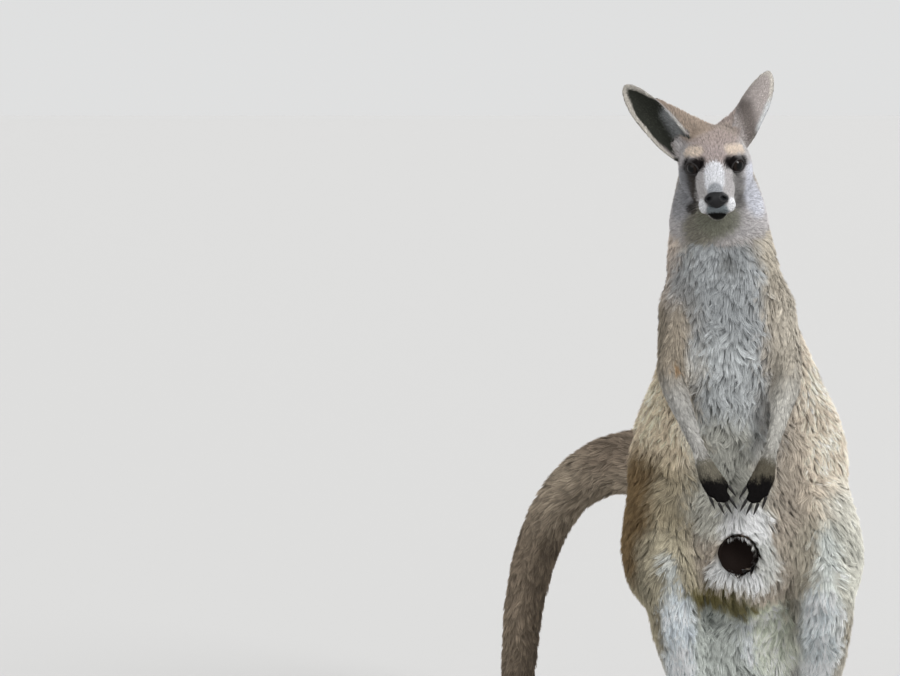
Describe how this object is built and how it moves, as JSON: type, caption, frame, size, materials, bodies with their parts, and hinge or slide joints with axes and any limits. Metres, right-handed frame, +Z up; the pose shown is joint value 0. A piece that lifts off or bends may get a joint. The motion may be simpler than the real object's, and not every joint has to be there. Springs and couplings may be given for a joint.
{
  "type": "grey kangaroo",
  "caption": "Life-size still model of an adult female eastern grey kangaroo, standing upright on its hind feet and tail, with its arms hanging.",
  "frame": {"origin": "middle of the bottom of the box around the animal, on the floor it stands on", "axes": "+Z up; -Y the way the animal faces; +X the animal's left side; the tail curves round behind to -X"},
  "size_m": [0.6406, 0.8686, 1.2703],
  "materials": {
    "coat": "dense matt fur, grey-brown above and pale grey below",
    "eye": "polished, almost black brown",
    "claw": "satin black horn"
  },
  "bodies": {
    "root": {"claw_foot_left_2": "claw", "claw_foot_left_3": "claw", "claw_foot_left_4": "claw", "claw_foot_left_5": "claw", "claw_foot_right_2": "claw", "claw_foot_right_3": "claw", "claw_foot_right_4": "claw", "claw_foot_right_5": "claw", "claw_hand_left_1": "claw", "claw_hand_left_2": "claw", "claw_hand_left_3": "claw", "claw_hand_left_4": "claw", "claw_hand_left_5": "claw", "claw_hand_right_1": "claw", "claw_hand_right_2": "claw", "claw_hand_right_3": "claw", "claw_hand_right_4": "claw", "claw_hand_right_5": "claw", "ear_left": "coat", "ear_right": "coat", "eye_left": "eye", "eye_right": "eye", "foot_left": "coat", "foot_right": "coat", "forearm_left": "coat", "forearm_right": "coat", "hand_left": "coat", "hand_right": "coat", "head": "coat", "neck": "coat", "shin_left": "coat", "shin_right": "coat", "tail_base": "coat", "tail_end": "coat", "tail_middle": "coat", "thigh_left": "coat", "thigh_right": "coat", "trunk": "coat", "upper_arm_left": "coat", "upper_arm_right": "coat"}
  },
  "joints": []
}
